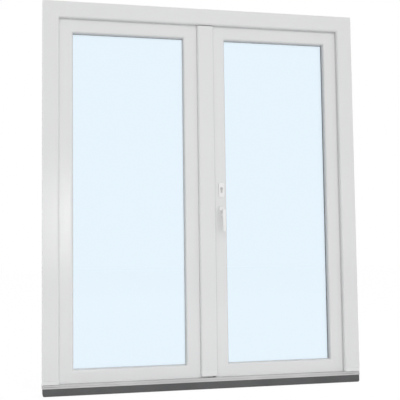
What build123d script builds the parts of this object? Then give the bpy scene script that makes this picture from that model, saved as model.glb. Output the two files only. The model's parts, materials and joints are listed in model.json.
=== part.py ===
from build123d import *
import os

# White PVC double-leaf balcony door, seen from outside towards +Y.
# X runs to the right, +Y is the room side, Z is up, and the origin is the middle of the threshold's underside.
# All sizes are in millimetres.

os.makedirs("parts", exist_ok=True)

# Overall sizes
overall_width = 1800
overall_height = 2140
frame_depth = 76
half_width = overall_width / 2
outer_face = -frame_depth / 2
inner_face = frame_depth / 2

# Running clearances
rebate_air = 12
face_gap = 5
seal_gap = 0.5
pin_gap = 0.08
joint_line = 0.2

# Outer frame profile
frame_flat = 77
frame_round = 13
frame_face = frame_flat + frame_round
lip_depth = 23
rebate_height = 18
frame_body = frame_face - rebate_height
edge_round = 2.5

# Threshold
base_height = 40
base_end = 3
base_round = 10
rail_plate = 4
rail_height = 21
rail_lip = 22
rail_nose = 7
rail_step = 4
rail_end = 26
foot_height = 20
foot_line = 1
leaf_bottom_air = 7
rail_top = base_height + rail_height
plate_top = base_height + rail_plate

# Leaf profile
leaf_depth = 76
leaf_flat = 69
leaf_round = 13
leaf_face = leaf_flat + leaf_round
wing_width = 20
wing_depth = 23
glazing_lip = 24
glazing_height = 22
groove_width = 16
groove_depth = 10
groove_start = 24
leaf_outer = outer_face + lip_depth + face_gap
leaf_inner = leaf_outer + leaf_depth
wing_outer = leaf_inner - wing_depth
glazing_floor = leaf_face - glazing_height

# Insulating glass, its seals and beads
pane = 4
glass_cavity = 16
spacer_width = 15
glass_air = 5
outer_seal = 4
inner_seal = 3
seal_width = 9
inner_seal_width = 5
seal_show = 1.5
seal_set_back = 1
wing_seal_width = 6
bead_width = 18
bead_foot = 5
bead_slope = 11
glass_outer = leaf_outer + glazing_lip + outer_seal
glass_inner = glass_outer + 2 * pane + glass_cavity
bead_outer = glass_inner + inner_seal

# Places of the two leaves, measured at their rebate edges
leaf_low = plate_top + leaf_bottom_air
leaf_high = overall_height - frame_body - rebate_air
hinge_edge = half_width - frame_body - rebate_air
passive_edge = -31
leaf_spacing = 79
active_edge = passive_edge + leaf_spacing

# Astragal, the cover profile on the passive leaf's meeting edge
astragal_seat = 4
astragal_cover = 14
astragal_proud = 20
astragal_round = 12
astragal_edge = 5
astragal_cap = 30
astragal_lift = 6
astragal_left = passive_edge - astragal_seat
astragal_right = active_edge + astragal_cover
astragal_front = leaf_outer - astragal_proud
astragal_back = leaf_outer - face_gap
astragal_body = active_edge - rebate_air
astragal_low = rail_top + astragal_lift
astragal_high = overall_height - frame_face - face_gap
inner_cover_gap = 6
inner_cover_proud = 20
meeting_seal_set_back = 2

# Hinges on the room side
hinge_reach = 8
hinge_radius = 8
hinge_pin = 4
hinge_half = 38
knuckle_half = 16
knuckle_air = 1
hinge_plate = 4
hinge_plate_width = 38
hinge_plate_round = 4
hinge_plate_inset = 2
hinge_cap_round = 2
hinge_low = 260
hinge_top_margin = 250
hinge_high = overall_height - hinge_top_margin
hinge_x = hinge_edge + wing_width + hinge_reach
hinge_y = leaf_inner + hinge_reach

# Lever handle and key cylinder on the active leaf
backset = 51
handle_x = active_edge + backset
handle_z = 985
cylinder_rise = 120
cylinder_z = handle_z + cylinder_rise
rosette_width = 30
rosette_height = 54
rosette_depth = 8
rosette_round = 8
rosette_edge = 2
plate_width = 32
plate_height = 82
plate_depth = 7
neck_radius = 8
lever_reach = 52
lever_width = 20
lever_depth = 13
lever_drop = 116
lever_top = 11
lever_tip_width = 16
lever_tip_depth = 9
lever_elbow = 9
lever_edge = 3
spindle_side = 8
spindle_bore = 7
cylinder_radius = 8.5
cylinder_tail = 5
cylinder_height = 33
cylinder_lift = 2
key_slot_width = 2.4
key_slot_height = 8
key_z = cylinder_z + cylinder_height / 2 - cylinder_radius

# Lock hardware in the meeting edges
lock_strip_depth = 3
lock_strip_low = 190
lock_strip_top_margin = 240
lock_strip_high = overall_height - lock_strip_top_margin
keep_depth = 2.5
keep_width = 20
keep_height = 150
keep_count = 3
keep_slot_width = 9
keep_slot_height = 70
bolt_width = 8
bolt_height = 60
bolt_set_back = 1.5

# Fixing holes through the jambs
fixing_radius = 5.25
fixing_y = 12
fixing_low = 240
fixing_top_margin = 200
fixing_count = 4


def rounded_face(sketch, corners):
    """Rounds the corners of a profile that are listed as (across, up, radius) in the sketch's own plane."""
    for across, up, radius in corners:
        picked = [v for v in sketch.vertices() if abs(v.X - across) + abs(v.Y - up) < pin_gap]
        fillet(picked, radius)


def upright(profile, rounds, edge, side, low, high):
    """Extrudes a profile of (inward, depth) points up from low to high; side 1 reads from left to right.

    The rounds are (inward, depth, radius), one for each corner that is not sharp.
    """
    turned = [(edge + side * u, y) for u, y in profile]
    soft = [(edge + side * u, y, radius) for u, y, radius in rounds]
    with BuildSketch(Plane.XY.offset(low)) as section:
        with BuildLine():
            Polyline(*turned, close=True)
        make_face()
        rounded_face(section, soft)
    extrude(section.sketch, amount=high - low)


def crosswise(profile, rounds, edge, side, left, right):
    """Extrudes a profile of (inward, depth) points from left to right; side 1 reads upwards.

    The rounds are (inward, depth, radius), one for each corner that is not sharp.
    """
    turned = [(y, edge + side * u) for u, y in profile]
    soft = [(y, edge + side * u, radius) for u, y, radius in rounds]
    with BuildSketch(Plane.YZ.offset(left)) as section:
        with BuildLine():
            Polyline(*turned, close=True)
        make_face()
        rounded_face(section, soft)
    extrude(section.sketch, amount=right - left)


def mitre(x, z, towards_x, towards_z, back=0.0):
    """Cuts away what lies beyond a sloping plane through (x, z), moved back along its direction."""
    cut = Plane(origin=(x, 0, z), z_dir=(towards_x, 0, towards_z)).offset(-back)
    split(bisect_by=cut, keep=Keep.BOTTOM)


def upright_mitres(x, low, high, side, back=0.0):
    """Mitres both ends of an upright whose outer edge is at x; side 1 is a left-hand upright."""
    mitre(x, low, side, -1, back)
    mitre(x, high, side, 1, back)


def crosswise_mitres(left, right, z, side, back=0.0):
    """Mitres both ends of a rail whose outer edge is at z; side 1 is a bottom rail."""
    mitre(left, z, -1, side, back)
    mitre(right, z, 1, side, back)


def ring(left, right, low, high, width, front, depth):
    """Builds a flat rectangular ring that lies in the door's plane."""
    with BuildSketch(Plane.XZ.offset(-front)) as face:
        with Locations(((left + right) / 2, (low + high) / 2)):
            Rectangle(right - left, high - low)
            Rectangle(right - left - 2 * width, high - low - 2 * width, mode=Mode.SUBTRACT)
    extrude(face.sketch, amount=-depth)


def slab(left, right, front, back, low, high):
    """Adds a square block between six limits."""
    with Locations(((left + right) / 2, (front + back) / 2, (low + high) / 2)):
        Box(right - left, back - front, high - low)


def pin(x, z, front, back, radius, mode=Mode.ADD):
    """Adds or cuts a cylinder that runs through the door, along Y."""
    with Locations(Location((x, (front + back) / 2, z), (90, 0, 0))):
        Cylinder(radius, back - front, mode=mode)


def post(x, y, low, high, radius, mode=Mode.ADD):
    """Adds or cuts an upright cylinder."""
    with Locations((x, y, (low + high) / 2)):
        Cylinder(radius, high - low, mode=mode)


def hinge_flap(left, right, low, high, front):
    """Adds a hinge plate with rounded corners, lying on a face that looks into the room."""
    with BuildSketch(Plane.XZ.offset(-front)) as face:
        with Locations(((left + right) / 2, (low + high) / 2)):
            RectangleRounded(right - left, high - low, hinge_plate_round)
    extrude(face.sketch, amount=-hinge_plate)


def cylinder_body(front, back, grow, mode=Mode.ADD):
    """Adds or cuts the pear-shaped body of the key cylinder, made larger all round by grow."""
    tail_drop = cylinder_height - cylinder_radius - cylinder_tail
    with BuildSketch(Plane.XZ.offset(-back)) as face:
        with Locations((handle_x, key_z)):
            Circle(cylinder_radius + grow)
        with Locations((handle_x, key_z - tail_drop / 2)):
            Rectangle(2 * (cylinder_tail + grow), tail_drop)
        with Locations((handle_x, key_z - tail_drop)):
            Circle(cylinder_tail + grow)
    extrude(face.sketch, amount=back - front, mode=mode)


# Profiles as (inward from the edge, depth) points
lip_back = outer_face + lip_depth
frame_profile = [
    (0, outer_face),
    (frame_face, outer_face),
    (frame_face, lip_back),
    (frame_body, lip_back),
    (frame_body, inner_face),
    (0, inner_face),
]
frame_rounds = [(frame_face, outer_face, frame_round)]

flange_back = leaf_outer + glazing_lip
groove_low = leaf_outer + groove_start
groove_high = groove_low + groove_width
leaf_profile = [
    (0, leaf_outer),
    (leaf_face, leaf_outer),
    (leaf_face, flange_back),
    (glazing_floor, flange_back),
    (glazing_floor, leaf_inner),
    (-wing_width, leaf_inner),
    (-wing_width, wing_outer),
    (0, wing_outer),
    (0, groove_high),
    (groove_depth, groove_high),
    (groove_depth, groove_low),
    (0, groove_low),
]
leaf_rounds = [(leaf_face, leaf_outer, leaf_round), (-wing_width, leaf_inner, edge_round)]

bead_profile = [
    (glazing_floor, bead_outer),
    (glazing_floor + bead_width, bead_outer),
    (glazing_floor + bead_width, bead_outer + bead_foot),
    (glazing_floor + bead_width - bead_slope, leaf_inner),
    (glazing_floor, leaf_inner),
]
bead_rounds = [(glazing_floor + bead_width - bead_slope, leaf_inner, edge_round)]

# Threshold: dark base bar, aluminium rail, end caps and the feet that carry the jambs
with BuildPart() as threshold_base:
    with BuildSketch(Plane.XZ.offset(-outer_face)) as bar_face:
        with Locations((0, base_height / 2)):
            Rectangle(overall_width - 2 * base_end, base_height)
        low_corners = bar_face.vertices().group_by(Axis.Y)[0]
        fillet(low_corners, base_round)
    extrude(amount=-frame_depth)
threshold_base.part.label = "threshold_base"
export_step(threshold_base.part, "parts/threshold_base.step")

rail_profile = [
    (outer_face, base_height),
    (outer_face, base_height + rail_nose),
    (outer_face + rail_step, base_height + rail_nose + rail_step),
    (outer_face + rail_step, rail_top - edge_round),
    (outer_face + rail_step + edge_round, rail_top),
    (outer_face + rail_lip, rail_top),
    (outer_face + rail_lip, plate_top),
    (inner_face, plate_top),
    (inner_face, base_height),
]
with BuildPart() as threshold_rail:
    with BuildSketch(Plane.YZ.offset(-half_width + rail_end)) as rail_section:
        with BuildLine():
            Polyline(*rail_profile, close=True)
        make_face()
    extrude(amount=overall_width - 2 * rail_end)
threshold_rail.part.label = "threshold_rail"
export_step(threshold_rail.part, "parts/threshold_rail.step")

# Each end cap has the rail's front and closes the space behind its upright part.
rail_front = rail_profile[:5]
with BuildPart() as threshold_end_caps:
    with BuildSketch(Plane.YZ.offset(-half_width)) as cap_section:
        with BuildLine():
            Polyline(*rail_front, (inner_face, rail_top), (inner_face, base_height), close=True)
        make_face()
    extrude(amount=rail_end)
    mirror(about=Plane.YZ)
threshold_end_caps.part.label = "threshold_end_caps"
export_step(threshold_end_caps.part, "parts/threshold_end_caps.step")

jamb_low = rail_top + foot_height
with BuildPart() as left_foot:
    slab(-half_width + rail_end, -half_width + frame_body, outer_face + rail_lip, inner_face,
         plate_top, rail_top)
    upright(frame_profile, frame_rounds, -half_width, 1, rail_top, jamb_low)
    top_front = left_foot.part.edges().filter_by(Axis.X).group_by(Axis.Z)[-1].sort_by(Axis.Y)[0]
    chamfer(top_front, foot_line)
with BuildPart() as jamb_feet:
    add(left_foot.part)
    mirror(left_foot.part, about=Plane.YZ)
jamb_feet.part.label = "jamb_feet"
export_step(jamb_feet.part, "parts/jamb_feet.step")

threshold_seal_back = outer_face + rail_lip
with BuildPart() as threshold_seal:
    slab(-half_width + frame_face, half_width - frame_face, threshold_seal_back, leaf_outer - seal_gap,
         leaf_low + seal_set_back, rail_top - seal_set_back)
threshold_seal.part.label = "threshold_seal"
export_step(threshold_seal.part, "parts/threshold_seal.step")

# Outer frame: two jambs and the head, mitred at the top corners
fixing_pitch = (overall_height - fixing_top_margin - fixing_low) / (fixing_count - 1)
fixing_heights = [fixing_low + index * fixing_pitch for index in range(fixing_count)]
with BuildPart() as left_jamb:
    upright(frame_profile, frame_rounds, -half_width, 1, jamb_low, overall_height)
    mitre(-half_width, overall_height, 1, 1)
    for height in fixing_heights:
        with Locations(Location((-half_width + frame_body / 2, fixing_y, height), (0, 90, 0))):
            Cylinder(fixing_radius, frame_body, mode=Mode.SUBTRACT)
left_jamb.part.label = "left_jamb"
export_step(left_jamb.part, "parts/left_jamb.step")

with BuildPart() as right_jamb:
    mirror(left_jamb.part, about=Plane.YZ)
right_jamb.part.label = "right_jamb"
export_step(right_jamb.part, "parts/right_jamb.step")

with BuildPart() as head:
    crosswise(frame_profile, frame_rounds, overall_height, -1, -half_width, half_width)
    crosswise_mitres(-half_width, half_width, overall_height, -1)
head.part.label = "head"
export_step(head.part, "parts/head.step")

frame_seal_low = rail_top
with BuildPart() as frame_seal:
    seal_outer = frame_face - seal_width - seal_set_back
    with BuildSketch(Plane.XZ.offset(-lip_back)) as seal_face:
        with Locations((0, (frame_seal_low + overall_height - seal_outer) / 2)):
            Rectangle(overall_width - 2 * seal_outer, overall_height - seal_outer - frame_seal_low)
        with Locations((0, (frame_seal_low + overall_height - seal_outer - seal_width) / 2)):
            Rectangle(overall_width - 2 * (seal_outer + seal_width),
                      overall_height - seal_outer - seal_width - frame_seal_low, mode=Mode.SUBTRACT)
    extrude(amount=-(face_gap - seal_gap))
frame_seal.part.label = "frame_seal"
export_step(frame_seal.part, "parts/frame_seal.step")

# Passive leaf, on the left: four mitred members
passive_left = -hinge_edge
passive_right = passive_edge
with BuildPart() as passive_hinge_stile:
    upright(leaf_profile, leaf_rounds, passive_left, 1, leaf_low - wing_width, leaf_high + wing_width)
    upright_mitres(passive_left, leaf_low, leaf_high, 1)
passive_hinge_stile.part.label = "passive_hinge_stile"
export_step(passive_hinge_stile.part, "parts/passive_hinge_stile.step")

with BuildPart() as passive_meeting_stile:
    upright(leaf_profile, leaf_rounds, passive_right, -1, leaf_low - wing_width, leaf_high + wing_width)
    upright_mitres(passive_right, leaf_low, leaf_high, -1)
passive_meeting_stile.part.label = "passive_meeting_stile"
export_step(passive_meeting_stile.part, "parts/passive_meeting_stile.step")

with BuildPart() as passive_bottom_rail:
    crosswise(leaf_profile, leaf_rounds, leaf_low, 1, passive_left - wing_width, passive_right + wing_width)
    crosswise_mitres(passive_left, passive_right, leaf_low, 1)
passive_bottom_rail.part.label = "passive_bottom_rail"
export_step(passive_bottom_rail.part, "parts/passive_bottom_rail.step")

with BuildPart() as passive_top_rail:
    crosswise(leaf_profile, leaf_rounds, leaf_high, -1, passive_left - wing_width, passive_right + wing_width)
    crosswise_mitres(passive_left, passive_right, leaf_high, -1)
passive_top_rail.part.label = "passive_top_rail"
export_step(passive_top_rail.part, "parts/passive_top_rail.step")

# Active leaf, on the right: four mitred members, the meeting stile bored for the spindle and the cylinder
active_left = active_edge
active_right = hinge_edge
with BuildPart() as active_hinge_stile:
    upright(leaf_profile, leaf_rounds, active_right, -1, leaf_low - wing_width, leaf_high + wing_width)
    upright_mitres(active_right, leaf_low, leaf_high, -1)
active_hinge_stile.part.label = "active_hinge_stile"
export_step(active_hinge_stile.part, "parts/active_hinge_stile.step")

with BuildPart() as active_meeting_stile:
    upright(leaf_profile, leaf_rounds, active_left, 1, leaf_low - wing_width, leaf_high + wing_width)
    upright_mitres(active_left, leaf_low, leaf_high, 1)
    pin(handle_x, handle_z, leaf_outer, leaf_inner, spindle_bore, Mode.SUBTRACT)
    cylinder_body(leaf_outer, leaf_inner, 0, Mode.SUBTRACT)
active_meeting_stile.part.label = "active_meeting_stile"
export_step(active_meeting_stile.part, "parts/active_meeting_stile.step")

with BuildPart() as active_bottom_rail:
    crosswise(leaf_profile, leaf_rounds, leaf_low, 1, active_left - wing_width, active_right + wing_width)
    crosswise_mitres(active_left, active_right, leaf_low, 1)
active_bottom_rail.part.label = "active_bottom_rail"
export_step(active_bottom_rail.part, "parts/active_bottom_rail.step")

with BuildPart() as active_top_rail:
    crosswise(leaf_profile, leaf_rounds, leaf_high, -1, active_left - wing_width, active_right + wing_width)
    crosswise_mitres(active_left, active_right, leaf_high, -1)
active_top_rail.part.label = "active_top_rail"
export_step(active_top_rail.part, "parts/active_top_rail.step")

# Insulating glass of the passive leaf
glass_inset = glazing_floor + glass_air
glass_low = leaf_low + glass_inset
glass_high = leaf_high - glass_inset
with BuildPart() as passive_outer_pane:
    slab(passive_left + glass_inset, passive_right - glass_inset, glass_outer, glass_outer + pane,
         glass_low, glass_high)
passive_outer_pane.part.label = "passive_outer_pane"
export_step(passive_outer_pane.part, "parts/passive_outer_pane.step")

with BuildPart() as passive_inner_pane:
    slab(passive_left + glass_inset, passive_right - glass_inset, glass_inner - pane, glass_inner,
         glass_low, glass_high)
passive_inner_pane.part.label = "passive_inner_pane"
export_step(passive_inner_pane.part, "parts/passive_inner_pane.step")

with BuildPart() as passive_glass_spacer:
    ring(passive_left + glass_inset, passive_right - glass_inset, glass_low, glass_high,
         spacer_width, glass_outer + pane, glass_cavity)
passive_glass_spacer.part.label = "passive_glass_spacer"
export_step(passive_glass_spacer.part, "parts/passive_glass_spacer.step")

seal_inset = leaf_face + seal_show - seal_width
seal_low = leaf_low + seal_inset
seal_high = leaf_high - seal_inset
with BuildPart() as passive_glazing_seals:
    ring(passive_left + seal_inset, passive_right - seal_inset, seal_low, seal_high,
         seal_width, flange_back, outer_seal)
    ring(passive_left + seal_inset, passive_right - seal_inset, seal_low, seal_high,
         inner_seal_width, glass_inner, inner_seal)
passive_glazing_seals.part.label = "passive_glazing_seals"
export_step(passive_glazing_seals.part, "parts/passive_glazing_seals.step")

with BuildPart() as passive_left_bead:
    upright(bead_profile, bead_rounds, passive_left, 1, leaf_low, leaf_high)
    upright_mitres(passive_left, leaf_low, leaf_high, 1, joint_line)
with BuildPart() as passive_right_bead:
    upright(bead_profile, bead_rounds, passive_right, -1, leaf_low, leaf_high)
    upright_mitres(passive_right, leaf_low, leaf_high, -1, joint_line)
with BuildPart() as passive_low_bead:
    crosswise(bead_profile, bead_rounds, leaf_low, 1, passive_left, passive_right)
    crosswise_mitres(passive_left, passive_right, leaf_low, 1, joint_line)
with BuildPart() as passive_high_bead:
    crosswise(bead_profile, bead_rounds, leaf_high, -1, passive_left, passive_right)
    crosswise_mitres(passive_left, passive_right, leaf_high, -1, joint_line)
with BuildPart() as passive_beads:
    add(passive_left_bead.part)
    add(passive_right_bead.part)
    add(passive_low_bead.part)
    add(passive_high_bead.part)
passive_beads.part.label = "passive_beads"
export_step(passive_beads.part, "parts/passive_beads.step")

# Insulating glass of the active leaf
with BuildPart() as active_outer_pane:
    slab(active_left + glass_inset, active_right - glass_inset, glass_outer, glass_outer + pane,
         glass_low, glass_high)
active_outer_pane.part.label = "active_outer_pane"
export_step(active_outer_pane.part, "parts/active_outer_pane.step")

with BuildPart() as active_inner_pane:
    slab(active_left + glass_inset, active_right - glass_inset, glass_inner - pane, glass_inner,
         glass_low, glass_high)
active_inner_pane.part.label = "active_inner_pane"
export_step(active_inner_pane.part, "parts/active_inner_pane.step")

with BuildPart() as active_glass_spacer:
    ring(active_left + glass_inset, active_right - glass_inset, glass_low, glass_high,
         spacer_width, glass_outer + pane, glass_cavity)
active_glass_spacer.part.label = "active_glass_spacer"
export_step(active_glass_spacer.part, "parts/active_glass_spacer.step")

with BuildPart() as active_glazing_seals:
    ring(active_left + seal_inset, active_right - seal_inset, seal_low, seal_high,
         seal_width, flange_back, outer_seal)
    ring(active_left + seal_inset, active_right - seal_inset, seal_low, seal_high,
         inner_seal_width, glass_inner, inner_seal)
active_glazing_seals.part.label = "active_glazing_seals"
export_step(active_glazing_seals.part, "parts/active_glazing_seals.step")

with BuildPart() as active_left_bead:
    upright(bead_profile, bead_rounds, active_left, 1, leaf_low, leaf_high)
    upright_mitres(active_left, leaf_low, leaf_high, 1, joint_line)
with BuildPart() as active_right_bead:
    upright(bead_profile, bead_rounds, active_right, -1, leaf_low, leaf_high)
    upright_mitres(active_right, leaf_low, leaf_high, -1, joint_line)
with BuildPart() as active_low_bead:
    crosswise(bead_profile, bead_rounds, leaf_low, 1, active_left, active_right)
    crosswise_mitres(active_left, active_right, leaf_low, 1, joint_line)
with BuildPart() as active_high_bead:
    crosswise(bead_profile, bead_rounds, leaf_high, -1, active_left, active_right)
    crosswise_mitres(active_left, active_right, leaf_high, -1, joint_line)
with BuildPart() as active_beads:
    add(active_left_bead.part)
    add(active_right_bead.part)
    add(active_low_bead.part)
    add(active_high_bead.part)
active_beads.part.label = "active_beads"
export_step(active_beads.part, "parts/active_beads.step")

# Room-side seals on the wings of the leaves, which close on the frame's inner face
wing_seal_front = inner_face + seal_gap
wing_seal_depth = wing_outer - wing_seal_front
wing_seal_inset = -wing_width + seal_set_back
with BuildPart() as passive_wing_seal:
    ring(passive_left + wing_seal_inset, passive_right - wing_seal_inset, leaf_low + wing_seal_inset,
         leaf_high - wing_seal_inset, wing_seal_width, wing_seal_front, wing_seal_depth)
passive_wing_seal.part.label = "passive_wing_seal"
export_step(passive_wing_seal.part, "parts/passive_wing_seal.step")

with BuildPart() as active_wing_seal:
    ring(active_left + wing_seal_inset, active_right - wing_seal_inset, leaf_low + wing_seal_inset,
         leaf_high - wing_seal_inset, wing_seal_width, wing_seal_front, wing_seal_depth)
active_wing_seal.part.label = "active_wing_seal"
export_step(active_wing_seal.part, "parts/active_wing_seal.step")

# Astragal on the passive leaf: a body in the meeting gap, a cover flange outside, caps and a cover inside
flange_profile = [
    (astragal_left, leaf_outer),
    (astragal_left, astragal_front),
    (astragal_right, astragal_front),
    (astragal_right, astragal_back),
    (astragal_body, astragal_back),
    (astragal_body, leaf_outer),
]
flange_rounds = [
    (astragal_left, astragal_front, astragal_round),
    (astragal_right, astragal_front, astragal_round),
]
with BuildPart() as astragal:
    slab(passive_edge, astragal_body, leaf_outer, inner_face, leaf_low, leaf_high)
    upright(flange_profile, flange_rounds, 0, 1, astragal_low + astragal_cap, astragal_high)
astragal.part.label = "astragal"
export_step(astragal.part, "parts/astragal.step")

with BuildPart() as astragal_end_cap:
    upright(flange_profile, flange_rounds, 0, 1, astragal_low, astragal_low + astragal_cap)
    low_edges = astragal_end_cap.part.edges().group_by(Axis.Z)[0]
    front_edges = low_edges.filter_by(lambda e: e.center().Y < astragal_back)
    fillet(front_edges, astragal_edge)
astragal_end_cap.part.label = "astragal_end_cap"
export_step(astragal_end_cap.part, "parts/astragal_end_cap.step")

meeting_seal_left = active_edge + meeting_seal_set_back
with BuildPart() as meeting_seal:
    slab(meeting_seal_left, meeting_seal_left + seal_width, astragal_back, leaf_outer - seal_gap,
         astragal_low + astragal_cap, astragal_high)
meeting_seal.part.label = "meeting_seal"
export_step(meeting_seal.part, "parts/meeting_seal.step")

inner_cover_left = passive_edge + wing_width
inner_cover_right = active_edge - wing_width - inner_cover_gap
with BuildPart() as astragal_inner_cover:
    with BuildSketch(Plane.XY.offset(leaf_low)) as cover_section:
        with Locations(((inner_cover_left + inner_cover_right) / 2, inner_face + inner_cover_proud / 2)):
            Rectangle(inner_cover_right - inner_cover_left, inner_cover_proud)
        rounded_face(cover_section, [(inner_cover_right, inner_face + inner_cover_proud, edge_round)])
    extrude(amount=leaf_high - leaf_low)
astragal_inner_cover.part.label = "astragal_inner_cover"
export_step(astragal_inner_cover.part, "parts/astragal_inner_cover.step")

# Hinges: the frame halves carry the pins, the leaf halves turn on them
hinge_heights = [hinge_low, hinge_high]
frame_plate_back = -hinge_x - hinge_radius - hinge_plate_width
with BuildPart() as left_hinge_frame_halves:
    for height in hinge_heights:
        hinge_flap(frame_plate_back, -hinge_x - hinge_plate_inset, height - hinge_half, height + hinge_half,
                   inner_face)
        for low, high in [(-hinge_half, -knuckle_half), (knuckle_half, hinge_half)]:
            post(-hinge_x, hinge_y, height + low, height + high, hinge_radius)
            slab(-hinge_x - hinge_radius, -hinge_x, inner_face, hinge_y, height + low, height + high)
        post(-hinge_x, hinge_y, height - hinge_half, height + hinge_half, hinge_pin)
    knuckle_arcs = left_hinge_frame_halves.part.edges().filter_by(GeomType.CIRCLE)
    knuckle_ends = knuckle_arcs.filter_by(lambda e: abs(e.radius - hinge_radius) < pin_gap)
    outer_heights = [height + side * hinge_half for height in hinge_heights for side in (-1, 1)]
    cap_edges = [e for e in knuckle_ends if round(e.center().Z, 3) in outer_heights]
    fillet(cap_edges, hinge_cap_round)
left_hinge_frame_halves.part.label = "left_hinge_frame_halves"
export_step(left_hinge_frame_halves.part, "parts/left_hinge_frame_halves.step")

with BuildPart() as right_hinge_frame_halves:
    mirror(left_hinge_frame_halves.part, about=Plane.YZ)
right_hinge_frame_halves.part.label = "right_hinge_frame_halves"
export_step(right_hinge_frame_halves.part, "parts/right_hinge_frame_halves.step")

knuckle = knuckle_half - knuckle_air
leaf_plate_start = -hinge_edge - wing_width + hinge_plate_inset
with BuildPart() as left_hinge_leaf_halves:
    for height in hinge_heights:
        hinge_flap(leaf_plate_start, leaf_plate_start + hinge_plate_width, height - hinge_half, height + hinge_half,
                   leaf_inner)
        post(-hinge_x, hinge_y, height - knuckle, height + knuckle, hinge_radius)
        slab(-hinge_x, leaf_plate_start + hinge_radius, leaf_inner, leaf_inner + hinge_radius,
             height - knuckle, height + knuckle)
        post(-hinge_x, hinge_y, height - hinge_half, height + hinge_half, hinge_pin + pin_gap, Mode.SUBTRACT)
left_hinge_leaf_halves.part.label = "left_hinge_leaf_halves"
export_step(left_hinge_leaf_halves.part, "parts/left_hinge_leaf_halves.step")

with BuildPart() as right_hinge_leaf_halves:
    mirror(left_hinge_leaf_halves.part, about=Plane.YZ)
right_hinge_leaf_halves.part.label = "right_hinge_leaf_halves"
export_step(right_hinge_leaf_halves.part, "parts/right_hinge_leaf_halves.step")

# Handle roses, cylinder plates and the key cylinder, fixed to the active leaf
leaf_middle = Plane.XZ.offset(-(leaf_outer + leaf_inner) / 2)
with BuildPart() as outer_rosette:
    with BuildSketch(Plane.XZ.offset(-leaf_outer)) as rose_face:
        with Locations((handle_x, handle_z)):
            RectangleRounded(rosette_width, rosette_height, rosette_round)
    extrude(amount=rosette_depth)
    fillet(outer_rosette.faces().sort_by(Axis.Y)[0].edges(), rosette_edge)
    pin(handle_x, handle_z, leaf_outer - rosette_depth, leaf_outer, neck_radius + pin_gap, Mode.SUBTRACT)
with BuildPart() as handle_rosettes:
    add(outer_rosette.part)
    mirror(outer_rosette.part, about=leaf_middle)
handle_rosettes.part.label = "handle_rosettes"
export_step(handle_rosettes.part, "parts/handle_rosettes.step")

with BuildPart() as outer_plate:
    with BuildSketch(Plane.XZ.offset(-leaf_outer)) as plate_face:
        with Locations((handle_x, cylinder_z)):
            RectangleRounded(plate_width, plate_height, rosette_round)
    extrude(amount=plate_depth)
    fillet(outer_plate.faces().sort_by(Axis.Y)[0].edges(), rosette_edge)
    cylinder_body(leaf_outer - plate_depth, leaf_outer, pin_gap, Mode.SUBTRACT)
with BuildPart() as cylinder_plates:
    add(outer_plate.part)
    mirror(outer_plate.part, about=leaf_middle)
cylinder_plates.part.label = "cylinder_plates"
export_step(cylinder_plates.part, "parts/cylinder_plates.step")

cylinder_front = leaf_outer - plate_depth - cylinder_lift
cylinder_back = leaf_inner + plate_depth + cylinder_lift
with BuildPart() as lock_cylinder:
    cylinder_body(cylinder_front, cylinder_back, 0)
    with Locations((handle_x, cylinder_front, key_z), (handle_x, cylinder_back, key_z)):
        Box(key_slot_width, 2 * plate_depth, key_slot_height, mode=Mode.SUBTRACT)
lock_cylinder.part.label = "lock_cylinder"
export_step(lock_cylinder.part, "parts/lock_cylinder.step")

# Levers and their spindle, which turn together
lever_front = leaf_outer - lever_reach
lever_high = handle_z + lever_top
lever_low = handle_z - lever_drop
with BuildPart() as lever_grip:
    with BuildSketch(Plane.YZ.offset(handle_x - lever_width / 2)) as side_view:
        with BuildLine():
            Polyline((lever_front, lever_high), (lever_front - lever_depth, lever_high),
                     (lever_front - lever_depth, lever_low), (lever_front - lever_depth + lever_tip_depth, lever_low),
                     close=True)
        make_face()
        rounded_face(side_view, [(lever_front - lever_depth, lever_high, lever_elbow)])
    extrude(amount=lever_width)
    with BuildSketch(Plane.XZ.offset(-lever_front)) as front_view:
        with BuildLine():
            Polyline((handle_x - lever_width / 2, lever_high), (handle_x + lever_width / 2, lever_high),
                     (handle_x + lever_tip_width / 2, lever_low), (handle_x - lever_tip_width / 2, lever_low),
                     close=True)
        make_face()
        fillet(front_view.vertices(), lever_tip_width / 2 - 1)
    extrude(amount=lever_depth, mode=Mode.INTERSECT)
    fillet(lever_grip.edges().filter_by(lambda e: e.length > lever_edge), lever_edge)
with BuildPart() as outer_lever:
    add(lever_grip.part)
    pin(handle_x, handle_z, lever_front - lever_edge, leaf_outer, neck_radius)
outer_lever.part.label = "outer_lever"
export_step(outer_lever.part, "parts/outer_lever.step")

with BuildPart() as inner_lever:
    mirror(outer_lever.part, about=leaf_middle)
inner_lever.part.label = "inner_lever"
export_step(inner_lever.part, "parts/inner_lever.step")

with BuildPart() as spindle:
    slab(handle_x - spindle_side / 2, handle_x + spindle_side / 2, leaf_outer, leaf_inner,
         handle_z - spindle_side / 2, handle_z + spindle_side / 2)
spindle.part.label = "spindle"
export_step(spindle.part, "parts/spindle.step")

# Lock strip in the active leaf's edge groove and keeps on the astragal
keep_middle = (groove_low + groove_high) / 2
keep_pitch = (lock_strip_high - lock_strip_low - 2 * keep_height) / (keep_count - 1)
keep_heights = [lock_strip_low + keep_height + index * keep_pitch for index in range(keep_count)]

# The bolts are drawn back, so their faces lie just under the strip's own.
with BuildPart() as lock_strip:
    slab(active_edge, active_edge + lock_strip_depth, groove_low, groove_high, lock_strip_low, lock_strip_high)
    for height in keep_heights:
        with Locations((active_edge + bolt_set_back / 2, keep_middle, height)):
            Box(bolt_set_back, bolt_width, bolt_height, mode=Mode.SUBTRACT)
lock_strip.part.label = "lock_strip"
export_step(lock_strip.part, "parts/lock_strip.step")

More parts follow.
